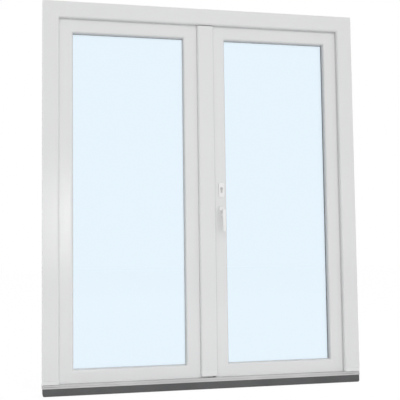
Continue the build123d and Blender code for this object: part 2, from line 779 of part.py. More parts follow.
with BuildPart() as lock_keeps:
    for height in keep_heights:
        slab(astragal_body, astragal_body + keep_depth,
             keep_middle - keep_width / 2, keep_middle + keep_width / 2,
             height - keep_height / 2, height + keep_height / 2)
        with Locations((astragal_body + keep_depth / 2, keep_middle, height)):
            Box(keep_depth, keep_slot_width, keep_slot_height, mode=Mode.SUBTRACT)
lock_keeps.part.label = "lock_keeps"
export_step(lock_keeps.part, "parts/lock_keeps.step")
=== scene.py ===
"""A white PVC balcony door with two glazed leaves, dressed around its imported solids."""
import json
import logging
import math
from dataclasses import dataclass, field
from enum import Enum

import bmesh
import bpy
from mathutils import Matrix, Vector

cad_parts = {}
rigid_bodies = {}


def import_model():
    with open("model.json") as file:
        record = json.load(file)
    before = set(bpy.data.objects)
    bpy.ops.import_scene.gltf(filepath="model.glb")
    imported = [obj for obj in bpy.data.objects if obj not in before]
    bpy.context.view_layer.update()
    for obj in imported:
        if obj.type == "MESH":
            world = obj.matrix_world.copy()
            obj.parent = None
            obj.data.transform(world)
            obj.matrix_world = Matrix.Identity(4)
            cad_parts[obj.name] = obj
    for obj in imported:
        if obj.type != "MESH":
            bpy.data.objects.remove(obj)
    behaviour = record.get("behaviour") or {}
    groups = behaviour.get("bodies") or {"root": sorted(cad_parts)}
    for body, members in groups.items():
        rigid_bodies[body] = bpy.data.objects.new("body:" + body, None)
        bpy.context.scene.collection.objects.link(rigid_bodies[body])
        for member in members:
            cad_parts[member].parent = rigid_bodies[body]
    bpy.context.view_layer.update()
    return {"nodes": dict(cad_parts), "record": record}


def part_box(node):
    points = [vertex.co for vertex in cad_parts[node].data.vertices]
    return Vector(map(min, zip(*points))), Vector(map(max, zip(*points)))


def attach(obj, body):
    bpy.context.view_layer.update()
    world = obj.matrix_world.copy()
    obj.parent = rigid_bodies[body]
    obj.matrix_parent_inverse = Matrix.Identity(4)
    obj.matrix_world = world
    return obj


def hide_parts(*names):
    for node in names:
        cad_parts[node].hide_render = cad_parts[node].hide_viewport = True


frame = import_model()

logging.basicConfig(level=logging.INFO, format="%(message)s")
log = logging.getLogger("balcony_door")

Socket = bpy.types.NodeSocket
Point = tuple[float, float]
Place = tuple[float, float, float]
Colour = tuple[float, float, float]

MM = 0.001
SAME_POINT = 1e-6
SMOOTH_ANGLE = math.radians(32)
QUARTER_TURN = math.pi / 2
WHITE = (1.0, 1.0, 1.0, 1.0)
UNSCALED: Place = (1.0, 1.0, 1.0)
PATTERN_SPAN: Point = (0.3, 0.7)  # where nearly all of a noise pattern's values lie
DRIFT_DETAIL = 3.0
GRAIN_DETAIL = 2.0
RIPPLE_DETAIL = 0.0
BULB_STEPS = 10
BULB_SHOULDER = 0.3  # the share of a sealing bulb's height that is straight
SIGHT_STEPS = 8


class Slot(Enum):
    """The record's material slots that the pieces take their finish from."""

    PVC = "pvc_white"
    BASE = "threshold_dark"
    RAIL = "threshold_aluminium"
    CAP = "cap_grey"
    SEAL = "seal_grey"
    GLASS = "clear_glass"
    SPACER = "spacer_grey"
    HINGE = "hinge_white"
    HANDLE = "handle_white"
    STEEL = "lock_steel"


class Run(Enum):
    """The way a profile was extruded, as the scale of a pattern that is drawn out along it."""

    UPRIGHT = (1.0, 1.0, 0.004)
    CROSSWISE = (0.004, 1.0, 1.0)
    NONE = UNSCALED


class Body(Enum):
    """The door's bodies that carry added pieces."""

    FRAME = "frame"
    PASSIVE = "passive_leaf"
    ACTIVE = "active_leaf"


class Side(Enum):
    """The two leaves, by the first word of their nodes' names."""

    PASSIVE = "passive"
    ACTIVE = "active"

    @property
    def body(self) -> Body:
        """Gives the leaf's body."""
        return Body(f"{self.value}_leaf")


class Wiring:
    """A node tree, with short ways to add nodes and to join them."""

    def __init__(self, tree: bpy.types.NodeTree) -> None:
        """Takes the tree to work on."""
        self.tree = tree

    def node(self, kind: str, **settings: object) -> bpy.types.Node:
        """Adds a node.

        Args:
            kind: the node's Blender type.
            settings: values for the node's own properties.

        Returns:
            The new node.
        """
        made = self.tree.nodes.new(kind)
        for key, value in settings.items():
            setattr(made, key, value)
        return made

    def link(self, source: Socket, target: Socket) -> None:
        """Joins two sockets."""
        self.tree.links.new(source, target)

    def remap(self, value: Socket, taken: Point, given: Point) -> Socket:
        """Stretches a value from one span to another.

        Args:
            value: the socket with the value.
            taken: the span that it comes in.
            given: the span that it leaves in.

        Returns:
            The socket with the new value.
        """
        made = self.node("ShaderNodeMapRange")
        made.inputs["From Min"].default_value, made.inputs["From Max"].default_value = taken
        made.inputs["To Min"].default_value, made.inputs["To Max"].default_value = given
        self.link(value, made.inputs["Value"])
        return made.outputs["Result"]

    def blend(self, share: Socket, first: Socket, second: Socket, output: bpy.types.Node) -> None:
        """Mixes two shaders into an output.

        Args:
            share: the socket with the second shader's share, from 0 to 1.
            first: the first shader.
            second: the second shader.
            output: the node that gets the mix as its surface.
        """
        mix = self.node("ShaderNodeMixShader")
        for source, target in zip((share, first, second), mix.inputs):
            self.link(source, target)
        self.link(mix.outputs["Shader"], output.inputs["Surface"])

    def seen(self) -> Socket:
        """Gives 1 for rays that look at a surface straight, in a reflection or through glass.

        Returns:
            The socket with the value.
        """
        path = self.node("ShaderNodeLightPath")
        value = path.outputs["Is Camera Ray"]
        for kind in ("Is Glossy Ray", "Is Transmission Ray"):
            either = self.node("ShaderNodeMath", operation="MAXIMUM")
            self.link(value, either.inputs[0])
            self.link(path.outputs[kind], either.inputs[1])
            value = either.outputs["Value"]
        return value


class Board(Wiring):
    """A material's node tree, with its main shader and short ways to wire patterns to it."""

    def __init__(self, name: str) -> None:
        """Starts a material with a Principled shader.

        Args:
            name: the material's name.
        """
        self.material = bpy.data.materials.new(name)
        self.material.use_nodes = True
        super().__init__(self.material.node_tree)
        self.shader = self.tree.nodes["Principled BSDF"]
        self.output = self.tree.nodes["Material Output"]

    def give(self, socket: str, value: object) -> None:
        """Sets a constant on the main shader."""
        self.shader.inputs[socket].default_value = value

    def place(self, scale: Place) -> Socket:
        """Gives object coordinates, scaled.

        Args:
            scale: the scale along X, Y and Z.

        Returns:
            The socket that carries the coordinates.
        """
        coordinates = self.node("ShaderNodeTexCoord")
        mapping = self.node("ShaderNodeMapping")
        mapping.inputs["Scale"].default_value = scale
        self.link(coordinates.outputs["Object"], mapping.inputs["Vector"])
        return mapping.outputs["Vector"]

    def noise(self, place: Socket, scale: float, detail: float) -> Socket:
        """Adds a noise pattern.

        Args:
            place: the coordinates that it is read at.
            scale: how fine it is.
            detail: how many finer layers it has.

        Returns:
            The socket with the pattern, from 0 to 1.
        """
        made = self.node("ShaderNodeTexNoise")
        made.inputs["Scale"].default_value = scale
        made.inputs["Detail"].default_value = detail
        self.link(place, made.inputs["Vector"])
        return made.outputs["Fac"]

    def tint(self, pattern: Socket, low: Colour, high: Colour) -> None:
        """Paints the base colour between two tones by a pattern.

        Args:
            pattern: the socket with the pattern.
            low: the colour where the pattern is weak.
            high: the colour where it is strong.
        """
        ramp = self.node("ShaderNodeValToRGB")
        for stop, position, colour in zip(ramp.color_ramp.elements, PATTERN_SPAN, (low, high)):
            stop.position = position
            stop.color = (*colour, 1.0)
        self.link(pattern, ramp.inputs["Fac"])
        self.link(ramp.outputs["Color"], self.shader.inputs["Base Color"])

    def gloss(self, pattern: Socket, roughness: Point) -> None:
        """Varies the roughness between its least and its most by a pattern."""
        self.link(self.remap(pattern, PATTERN_SPAN, roughness), self.shader.inputs["Roughness"])

    def relief(self, pattern: Socket, strength: float, height: float) -> None:
        """Bumps the surface by a pattern.

        Args:
            pattern: the socket with the pattern.
            strength: how strong the bump is, from 0 to 1.
            height: how high the pattern stands, in metres.
        """
        bump = self.node("ShaderNodeBump")
        bump.inputs["Strength"].default_value = strength
        bump.inputs["Distance"].default_value = height
        self.link(pattern, bump.inputs["Height"])
        self.link(bump.outputs["Normal"], self.shader.inputs["Normal"])


@dataclass(frozen=True)
class Surface:
    """A finish with a name, which is made once as a material and then shared."""

    name: str

    def material(self) -> bpy.types.Material:
        """Gives the finish's material, and makes it the first time.

        Returns:
            The material.
        """
        found = bpy.data.materials.get(self.name)
        return found if found is not None else self.make()

    def make(self) -> bpy.types.Material:
        """Builds the material's nodes, in a way that each kind of finish gives."""
        raise NotImplementedError


@dataclass(frozen=True)
class Finish(Surface):
    """A plastic, rubber, coat or metal, with a slow drift of colour and a fine grain.

    Attributes:
        low: the darker tone of the drift.
        high: the lighter tone of the drift.
        drift: how fine the drift is.
        sheen: the least and the most roughness.
        grain: how fine the pattern of the gloss and the relief is.
        relief: how strong the relief is, from 0 to 1.
        height: how high the relief stands, in metres.
        run: the way the grain is drawn out.
        metallic: 1 for bare metal.
        ior: the index of refraction.
    """

    low: Colour
    high: Colour
    drift: float
    sheen: Point
    grain: float
    relief: float
    height: float
    run: Run = Run.NONE
    metallic: float = 0.0
    ior: float = 1.5

    def make(self) -> bpy.types.Material:
        """Builds the material's nodes.

        Returns:
            The material.
        """
        board = Board(self.name)
        board.give("Metallic", self.metallic)
        board.give("IOR", self.ior)
        wide = board.noise(board.place(UNSCALED), self.drift, DRIFT_DETAIL)
        fine = board.noise(board.place(self.run.value), self.grain, GRAIN_DETAIL)
        board.tint(wide, self.low, self.high)
        board.gloss(fine, self.sheen)
        board.relief(fine, self.relief, self.height)
        return board.material


@dataclass(frozen=True)
class GlassFinish(Surface):
    """Clear float glass with a cast of colour and a faint ripple, which lets the lamps' light through."""

    cast: Colour
    ior: float
    ripple_scale: float
    ripple_strength: float
    ripple_height: float

    def make(self) -> bpy.types.Material:
        """Builds the glass: a clear shader with a faint ripple, open to shadow rays.

        Returns:
            The material.
        """
        board = Board(self.name)
        board.give("Base Color", (*self.cast, 1.0))
        board.give("Roughness", 0.0)
        board.give("IOR", self.ior)
        board.give("Transmission Weight", 1.0)
        ripple = board.noise(board.place(UNSCALED), self.ripple_scale, RIPPLE_DETAIL)
        board.relief(ripple, self.ripple_strength, self.ripple_height)
        path = board.node("ShaderNodeLightPath")
        clear = board.node("ShaderNodeBsdfTransparent")
        clear.inputs["Color"].default_value = (*self.cast, 1.0)
        board.blend(path.outputs["Is Shadow Ray"], board.shader.outputs["BSDF"], clear.outputs["BSDF"],
                    board.output)
        return board.material


def pvc(name: str, run: Run, lift: float = 0.0) -> Finish:
    """Gives the white PVC finish for one run of the profile.

    Args:
        name: the material's name.
        run: the way the profile was extruded.
        lift: how much lighter it is than the extruded profiles.

    Returns:
        The finish.
    """
    low = (0.765 + lift, 0.768 + lift, 0.771 + lift)
    high = (0.782 + lift, 0.784 + lift, 0.786 + lift)
    return Finish(name, low, high, drift=2.5, sheen=(0.15, 0.20), grain=420.0, relief=0.025, height=0.1 * MM,
                  run=run)


PVC_UPRIGHT = pvc("pvc_upright", Run.UPRIGHT)
PVC_CROSSWISE = pvc("pvc_crosswise", Run.CROSSWISE)
PVC_MOULDED = pvc("pvc_moulded", Run.NONE, lift=0.02)
BASE_PLASTIC = Finish(
    "base_dark_plastic", low=(0.078, 0.079, 0.081), high=(0.096, 0.097, 0.099), drift=7.0, sheen=(0.42, 0.60),
    grain=500.0, relief=0.25, height=0.2 * MM, run=Run.CROSSWISE)
RAIL_METAL = Finish(
    "rail_satin_aluminium", low=(0.52, 0.52, 0.52), high=(0.60, 0.60, 0.60), drift=6.0, sheen=(0.34, 0.48),
    grain=900.0, relief=0.12, height=0.08 * MM, run=Run.CROSSWISE, metallic=1.0)
CAP_PLASTIC = Finish(
    "cap_grey_plastic", low=(0.50, 0.50, 0.505), high=(0.54, 0.54, 0.545), drift=20.0, sheen=(0.40, 0.52),
    grain=900.0, relief=0.10, height=0.1 * MM)
SEAL_RUBBER = Finish(
    "seal_grey_rubber", low=(0.62, 0.63, 0.64), high=(0.68, 0.69, 0.70), drift=30.0, sheen=(0.55, 0.72),
    grain=1400.0, relief=0.20, height=0.1 * MM)
SPACER_METAL = Finish(
    "spacer_grey_metal", low=(0.10, 0.105, 0.11), high=(0.14, 0.145, 0.15), drift=25.0, sheen=(0.40, 0.55),
    grain=1200.0, relief=0.12, height=0.1 * MM, metallic=0.3)
HINGE_COAT = Finish(
    "hinge_white_coat", low=(0.78, 0.78, 0.785), high=(0.81, 0.81, 0.812), drift=12.0, sheen=(0.28, 0.40),
    grain=1600.0, relief=0.14, height=0.08 * MM)
HANDLE_COAT = Finish(
    "handle_white_coat", low=(0.84, 0.84, 0.84), high=(0.87, 0.87, 0.87), drift=12.0, sheen=(0.22, 0.34),
    grain=1800.0, relief=0.12, height=0.08 * MM)
STEEL_PLATE = Finish(
    "lock_nickel_steel", low=(0.50, 0.50, 0.49), high=(0.60, 0.60, 0.59), drift=14.0, sheen=(0.26, 0.42),
    grain=800.0, relief=0.16, height=0.08 * MM, run=Run.UPRIGHT, metallic=1.0)
CLEAR_GLASS = GlassFinish(
    "glass_clear_pale_blue", cast=(0.890, 0.951, 0.993), ior=1.52, ripple_scale=4.0, ripple_strength=0.04,
    ripple_height=0.4 * MM)

UPRIGHT_NODES = (
    "left_jamb", "right_jamb", "passive_hinge_stile", "passive_meeting_stile", "active_hinge_stile",
    "active_meeting_stile", "astragal", "astragal_inner_cover",
)
CROSSWISE_NODES = (
    "head", "passive_bottom_rail", "passive_top_rail", "active_bottom_rail", "active_top_rail",
)


def piece_from(name: str, mesh: bpy.types.Mesh, finish: Finish, body: Body) -> bpy.types.Object:
    """Makes a finished mesh a piece of the door.

    Args:
        name: the piece's name.
        mesh: its mesh, in place.
        finish: its surface.
        body: the body that it rides on.

    Returns:
        The new object.
    """
    mesh.materials.clear()
    mesh.materials.append(finish.material())
    made = bpy.data.objects.new(name, mesh)
    bpy.context.scene.collection.objects.link(made)
    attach(made, body.value)
    log.info("%s: %d faces on %s", name, len(mesh.polygons), body.value)
    return made


def mesh_from(name: str, shape: bmesh.types.BMesh) -> bpy.types.Mesh:
    """Closes a shape's doubles, turns its faces outwards and smooths its soft edges.

    Args:
        name: the mesh's name.
        shape: the shape, which is freed.

    Returns:
        The mesh.
    """
    bmesh.ops.remove_doubles(shape, verts=shape.verts, dist=SAME_POINT)
    bmesh.ops.recalc_face_normals(shape, faces=shape.faces)
    mesh = bpy.data.meshes.new(name)
    shape.to_mesh(mesh)
    shape.free()
    mesh.shade_smooth()
    mesh.set_sharp_from_angle(angle=SMOOTH_ANGLE)
    return mesh


@dataclass
class Station:
    """A place on a path in the door's plane, and the step that a section's inset takes there."""

    x: float
    z: float
    step_x: float
    step_z: float

    def at(self, inset: float, depth: float) -> Vector:
        """Gives the point of a section at this place."""
        return Vector((self.x + self.step_x * inset, depth, self.z + self.step_z * inset))


def rectangle(left: float, right: float, low: float, high: float) -> list[Station]:
    """Gives the four corners of a rectangle, whose sections are inset towards its middle.

    Args:
        left: the left edge.
        right: the right edge.
        low: the lower edge.
        high: the upper edge.

    Returns:
        The corners in order.
    """
    return [Station(left, low, 1, 1), Station(left, high, 1, -1), Station(right, high, -1, -1),
            Station(right, low, -1, 1)]


def turns(count: int) -> list[float]:
    """Gives the angles of a circle's points, in radians."""
    return [2 * math.pi * k / count for k in range(count)]


def neighbours(count: int) -> list[tuple[int, int]]:
    """Gives each point's number on a ring with the number of the next one."""
    return [(k, (k + 1) % count) for k in range(count)]


def skin(shape: bmesh.types.BMesh, rings: list[list[bmesh.types.BMVert]], closed: bool) -> None:
    """Joins rings of points with faces, each ring to the next.

    Args:
        shape: the shape that they belong to.
        rings: the rings in order, all with as many points.
        closed: whether the last ring is joined to the first.
    """
    pairs = list(zip(rings, rings[1:]))
    if closed:
        pairs.append((rings[-1], rings[0]))
    for first, second in pairs:
        for here, after in neighbours(len(first)):
            shape.faces.new((first[here], first[after], second[after], second[here]))


def sweep(shape: bmesh.types.BMesh, path: list[Station], section: list[Point], closed: bool) -> None:
    """Adds a section that is carried along a path.

    Args:
        shape: the shape that it is added to.
        path: the places that it passes.
        section: its (inset, depth) points.
        closed: whether the path ends where it began.
    """
    rings = [[shape.verts.new(place.at(*point)) for point in section] for place in path]
    skin(shape, rings, closed)
    if not closed:
        shape.faces.new(rings[0])
        shape.faces.new(list(reversed(rings[-1])))


def bulb(width: float, foot: float, tip: float) -> list[Point]:
    """Gives the section of a sealing bulb: a flat foot with a round back.

    Args:
        width: the width of the foot.
        foot: the depth of the foot.
        tip: the depth of the bulb's highest point.

    Returns:
        The (inset, depth) points.
    """
    half = width / 2
    shoulder = foot + BULB_SHOULDER * (tip - foot)
    bends = [math.pi * k / BULB_STEPS for k in range(BULB_STEPS + 1)]
    arc = [(half - half * math.cos(a), shoulder + (tip - shoulder) * math.sin(a)) for a in bends]
    return [(0.0, foot), *arc, (width, foot)]


@dataclass
class Seals:
    """The rubber seals, drawn as the bulbs and lips that the plain strips stand for.

    Attributes:
        frame_width: the width of the bulb on the frame's lip.
        wing_width: the width of the bulb on a leaf's wing.
        outer_width: the width of the glazing seal outside.
        inner_width: the width of the glazing seal inside.
        lip: the sloping edge of a glazing seal, as points that give how far each falls short of the width and
            at which share of the seal's thickness it lies.
    """

    frame_width: float = 9 * MM
    wing_width: float = 6 * MM
    outer_width: float = 9 * MM
    inner_width: float = 5 * MM
    lip: tuple[Point, ...] = ((2.2 * MM, 0.0), (1.4 * MM, 0.12), (0.5 * MM, 0.5), (0.0, 0.86),
                              (0.15 * MM, 1.0))

    def dress(self) -> None:
        """Builds every seal."""
        self.frame_seal()
        self.threshold_seal()
        self.meeting_seal()
        for side in Side:
            self.wing_seal(side)
            self.glazing_seals(side)

    @staticmethod
    def put(node: str, path: list[Station], sections: list[list[Point]], closed: bool, body: Body) -> None:
        """Carries sections along a path and makes them the piece that stands for a seal's node.

        Args:
            node: the node's name.
            path: the places that the seal passes.
            sections: the (inset, depth) points of each strip.
            closed: whether the path ends where it began.
            body: the body that it rides on.
        """
        shape = bmesh.new()
        for section in sections:
            sweep(shape, path, section, closed)
        made = piece_from(node + "_rubber", mesh_from(node, shape), SEAL_RUBBER, body)
        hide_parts(node)

    def frame_seal(self) -> None:
        """Builds the seal on the frame's lip, up one jamb, along the head and down the other."""
        low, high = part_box("frame_seal")
        path = [Station(low.x, low.z, 1, 0), Station(low.x, high.z, 1, -1), Station(high.x, high.z, -1, -1),
                Station(high.x, low.z, -1, 0)]
        self.put("frame_seal", path, [bulb(self.frame_width, low.y, high.y)], False, Body.FRAME)

    def threshold_seal(self) -> None:
        """Builds the seal behind the threshold rail's lip."""
        low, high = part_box("threshold_seal")
        path = [Station(low.x, low.z, 0, 1), Station(high.x, low.z, 0, 1)]
        self.put("threshold_seal", path, [bulb(high.z - low.z, low.y, high.y)], False, Body.FRAME)

    def meeting_seal(self) -> None:
        """Builds the seal behind the astragal's flange."""
        low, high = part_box("meeting_seal")
        path = [Station(low.x, low.z, 1, 0), Station(low.x, high.z, 1, 0)]
        self.put("meeting_seal", path, [bulb(high.x - low.x, low.y, high.y)], False, Body.PASSIVE)

    def wing_seal(self, side: Side) -> None:
        """Builds the seal round a leaf's wings, whose bulb points at the frame.

        Args:
            side: which leaf.
        """
        node = f"{side.value}_wing_seal"
        low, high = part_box(node)
        path = rectangle(low.x, high.x, low.z, high.z)
        self.put(node, path, [bulb(self.wing_width, high.y, low.y)], True, side.body)

    def glazing_seals(self, side: Side) -> None:
        """Builds the two seals that hold a leaf's glass, each with a lip that slopes onto the pane.

        Args:
            side: which leaf.
        """
        node = f"{side.value}_glazing_seals"
        low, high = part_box(node)
        outer_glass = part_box(f"{side.value}_outer_pane")[0].y
        inner_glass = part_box(f"{side.value}_inner_pane")[1].y
        path = rectangle(low.x, high.x, low.z, high.z)
        sections = []
        for back, glass, width in ((low.y, outer_glass, self.outer_width),
                                   (high.y, inner_glass, self.inner_width)):
            slope = [(width - short, back + share * (glass - back)) for short, share in self.lip]
            sections.append([(0.0, back), *slope, (0.0, glass)])
        self.put(node, path, sections, True, side.body)


class NodeTree(Wiring):
    """A Geometry Nodes tree that is built in the script and run once on a plain mesh."""

    def __init__(self, name: str, inputs: dict[str, str]) -> None:
        """Starts a tree with a geometry input and output and its named inputs.

        Args:
            name: the tree's name.
            inputs: the other inputs' names and socket types.
        """
        super().__init__(bpy.data.node_groups.new(name, "GeometryNodeTree"))
        sockets = self.tree.interface
        sockets.new_socket("Geometry", in_out="INPUT", socket_type="NodeSocketGeometry")
        sockets.new_socket("Geometry", in_out="OUTPUT", socket_type="NodeSocketGeometry")
        self.identifiers = {key: sockets.new_socket(key, in_out="INPUT", socket_type=kind).identifier
                            for key, kind in inputs.items()}
        self.entry = self.node("NodeGroupInput")

    def close(self, geometry: Socket) -> None:
        """Ends the tree: makes its instances real, sets the Finish input's material and gives the result out.

        Args:
            geometry: the socket with the geometry.
        """
        real = self.node("GeometryNodeRealizeInstances")
        paint = self.node("GeometryNodeSetMaterial")
        leave = self.node("NodeGroupOutput")
        self.link(geometry, real.inputs["Geometry"])
        self.link(real.outputs["Geometry"], paint.inputs["Geometry"])
        self.link(self.entry.outputs["Finish"], paint.inputs["Material"])
        self.link(paint.outputs["Geometry"], leave.inputs["Geometry"])

    def run(self, seed: bpy.types.Mesh, values: dict[str, object], name: str) -> bpy.types.Mesh:
        """Runs the tree on a mesh.

        Args:
            seed: the mesh that the tree starts from.
            values: what each named input is set to.
            name: the name of the mesh that comes out.

        Returns:
            A plain mesh with the tree's result.
        """
        holder = bpy.data.objects.new(name + "_seed", seed)
        bpy.context.scene.collection.objects.link(holder)
        modifier = holder.modifiers.new("tree", "NODES")
        modifier.node_group = self.tree
        for key, value in values.items():
            modifier[self.identifiers[key]] = value
        graph = bpy.context.evaluated_depsgraph_get()
        mesh = bpy.data.meshes.new_from_object(holder.evaluated_get(graph), depsgraph=graph)
        mesh.name = name
        holder.modifiers.remove(modifier)
        bpy.data.objects.remove(holder)
        return mesh


@dataclass
class Screws:
    """Countersunk cross-head screws, set out by a Geometry Nodes tree at points with a direction.

    Attributes:
        facets: how many sides a head has.
        rim_radius: the head's radius at its foot, as a share of its diameter, as all the next sizes are.
        edge_radius: its radius at the top of the rim.
        rim_height: the height of the rim.
        dome: the height of the head's middle.
        recess_reach: how far the cross reaches from the middle.
        recess_half: half the width of its arms.
        recess_depth: how deep it goes.
        recess_taper: the size of its floor, as a share of the size of its mouth.
    """

    facets: int = 20
    rim_radius: float = 0.5
    edge_radius: float = 0.44
    rim_height: float = 0.05
    dome: float = 0.06
    recess_reach: float = 0.27
    recess_half: float = 0.07
    recess_depth: float = 0.14
    recess_taper: float = 0.8

    def head(self) -> bpy.types.Object:
        """Builds a screw head of diameter 1 with a cross recess, looking along +Z.

        Returns:
            An object that is not shown itself.
        """
        shape = bmesh.new()

        def ring(points: list[Point], scale: float, height: float) -> list[bmesh.types.BMVert]:
            """Adds a level ring of points."""
            return [shape.verts.new((scale * x, scale * y, height)) for x, y in points]

        circle = [(math.cos(a), math.sin(a)) for a in turns(self.facets)]
        h, r = self.recess_half, self.recess_reach
        cross = [(r, -h), (r, h), (h, h), (h, r), (-h, r), (-h, h), (-r, h), (-r, -h), (-h, -h), (-h, -r),
                 (h, -r), (h, -h)]
        rim = ring(circle, self.rim_radius, 0.0)
        edge = ring(circle, self.edge_radius, self.rim_height)
        mouth = ring(cross, 1.0, self.dome)
        floor = ring(cross, self.recess_taper, self.dome - self.recess_depth)
        skin(shape, [rim, edge], False)
        skin(shape, [mouth, floor], False)
        shape.faces.new(floor)
        borders = [shape.edges.get((border[here], border[after])) for border in (mouth, edge)
                   for here, after in neighbours(len(border))]
        bmesh.ops.triangle_fill(shape, edges=borders, use_beauty=True)
        shape.faces.new(list(reversed(rim)))
        return bpy.data.objects.new("screw_head", mesh_from("screw_head", shape))

    def tree(self) -> NodeTree:
        """Builds the tree that turns a head to each point's direction and sets it there.

        Returns:
            The tree.
        """
        made = NodeTree("screw_setting", {"Head": "NodeSocketObject", "Head Diameter": "NodeSocketFloat",
                                          "Finish": "NodeSocketMaterial"})
        shape = made.node("GeometryNodeObjectInfo")
        aim = made.node("GeometryNodeInputNamedAttribute", data_type="FLOAT_VECTOR")
        aim.inputs["Name"].default_value = "aim"
        align = made.node("FunctionNodeAlignRotationToVector", axis="Z")
        setting = made.node("GeometryNodeInstanceOnPoints")
        made.link(made.entry.outputs["Head"], shape.inputs["Object"])
        made.link(aim.outputs["Attribute"], align.inputs["Vector"])
        made.link(made.entry.outputs["Geometry"], setting.inputs["Points"])
        made.link(shape.outputs["Geometry"], setting.inputs["Instance"])
        made.link(align.outputs["Rotation"], setting.inputs["Rotation"])
        made.link(made.entry.outputs["Head Diameter"], setting.inputs["Scale"])
        made.close(setting.outputs["Instances"])
        return made

    def set_out(self, name: str, places: list[tuple[Vector, Vector]], diameter: float, body: Body) -> None:
        """Sets screws at places and makes them one piece.

        Args:
            name: the piece's name.
            places: each screw's point and the direction that its head looks.
            diameter: the heads' diameter.
            body: the body that they ride on.
        """
        seed = bpy.data.meshes.new(name + "_points")
        seed.from_pydata([tuple(point) for point, _ in places], [], [])
        aims = seed.attributes.new("aim", "FLOAT_VECTOR", "POINT")
        for index, (_, direction) in enumerate(places):
            aims.data[index].vector = direction
        head = self.head()
        values = {"Head": head, "Head Diameter": diameter, "Finish": STEEL_PLATE.material()}
        mesh = self.tree().run(seed, values, name)
        bpy.data.objects.remove(head)
        piece_from(name, mesh, STEEL_PLATE, body)


@dataclass
class Seams:
    """The fine weld seams at the mitred corners, as beads that follow the profiles."""

    radius: float = 0.28 * MM
    sides: int = 8

    def tree(self) -> NodeTree:
        """Builds the tree that runs a round bead along a line.

        Returns:
            The tree.
        """
        made = NodeTree("weld_bead", {"Bead Radius": "NodeSocketFloat", "Finish": "NodeSocketMaterial"})
        curve = made.node("GeometryNodeMeshToCurve")
        ring = made.node("GeometryNodeCurvePrimitiveCircle")
        ring.inputs["Resolution"].default_value = self.sides
        tube = made.node("GeometryNodeCurveToMesh")
        tube.inputs["Fill Caps"].default_value = True
        made.link(made.entry.outputs["Geometry"], curve.inputs["Mesh"])
        made.link(made.entry.outputs["Bead Radius"], ring.inputs["Radius"])
        made.link(curve.outputs["Curve"], tube.inputs["Curve"])
        made.link(ring.outputs["Curve"], tube.inputs["Profile Curve"])
        made.close(tube.outputs["Mesh"])
        return made

    def lay(self, name: str, corners: list[Station], lines: list[list[Point]], body: Body) -> None:
        """Lays beads along the same lines at every corner and makes them one piece.

        Args:
            name: the piece's name.
            corners: the corners that the lines are set at.
            lines: the (inset, depth) points that each bead follows.
            body: the body that they ride on.
        """
        points: list[tuple[float, ...]] = []
        edges: list[tuple[int, int]] = []
        for corner in corners:
            for line in lines:
                start = len(points)
                points.extend(tuple(corner.at(*point)) for point in line)
                edges.extend((start + k, start + k + 1) for k in range(len(line) - 1))
        seed = bpy.data.meshes.new(name + "_lines")
        seed.from_pydata(points, edges, [])
        values = {"Bead Radius": self.radius, "Finish": PVC_MOULDED.material()}
        mesh = self.tree().run(seed, values, name)
        mesh.shade_smooth()
        piece_from(name, mesh, PVC_MOULDED, body)


@dataclass(frozen=True)
class Profile:
    """The outside of an extruded profile: a flat face, a round sight edge and a lip behind it.

    Attributes:
        flat: the width of the flat face.
        sight_round: the radius of the sight edge.
        lip: how far behind the face the lip ends.
    """

    flat: float
    sight_round: float
    lip: float

    def line(self, start: float, face: float) -> list[Point]:
        """Gives the line over the face, round the sight edge and along the lip.

        Args:
            start: the inset where it starts.
            face: the depth of the face.

        Returns:
            The (inset, depth) points.
        """
        bends = [QUARTER_TURN * k / SIGHT_STEPS for k in range(1, SIGHT_STEPS + 1)]
        arc = [(self.flat + self.sight_round * math.sin(a), face + self.sight_round * (1 - math.cos(a)))
               for a in bends]
        return [(start, face), (self.flat, face), *arc, (self.flat + self.sight_round, face + self.lip)]


@dataclass
class OuterFrame:
    """The two jambs and the head, with the seams at the mitred corners.

    Attributes:
        seams: the seam maker.
        profile: the profile's outside.
        body_width: the width of the face inside.
        seam_inset: how far the seams start from the outer corner.
    """

    seams: Seams
    profile: Profile = Profile(flat=77 * MM, sight_round=13 * MM, lip=23 * MM)
    body_width: float = 72 * MM
    seam_inset: float = 0.5 * MM

    def dress(self) -> None:
        """Lays the two corner seams, outside and inside."""
        low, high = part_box("head")
        outer = self.profile.line(self.seam_inset, low.y)
        inner = [(self.seam_inset, high.y), (self.body_width, high.y)]
        corners = [Station(low.x, high.z, 1, -1), Station(high.x, high.z, -1, -1)]
        self.seams.lay("frame_corner_seams", corners, [outer, inner], Body.FRAME)


@dataclass
class Leaf:
    """A glazed leaf: its corner seams, outside and inside.

    Attributes:
        side: which leaf.
        seams: the seam maker.
        profile: the profile's outside.
        wing: how far the wing laps over the frame.
        wing_round: how far the seams inside start from the wing's edge.
        inner_width: the width of the face inside, without the wing.
    """

    side: Side
    seams: Seams
    profile: Profile = Profile(flat=69 * MM, sight_round=13 * MM, lip=24 * MM)
    wing: float = 20 * MM
    wing_round: float = 2.5 * MM
    inner_width: float = 60 * MM

    def dress(self) -> None:
        """Lays the four corner seams."""
        low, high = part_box(f"{self.side.value}_bottom_rail")
        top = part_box(f"{self.side.value}_top_rail")[1].z
        outer = self.profile.line(0.0, low.y)
        inner = [(self.wing_round - self.wing, high.y), (self.inner_width, high.y)]
        corners = rectangle(low.x + self.wing, high.x - self.wing, low.z + self.wing, top - self.wing)
        self.seams.lay(f"{self.side.value}_corner_seams", corners, [outer, inner], self.side.body)


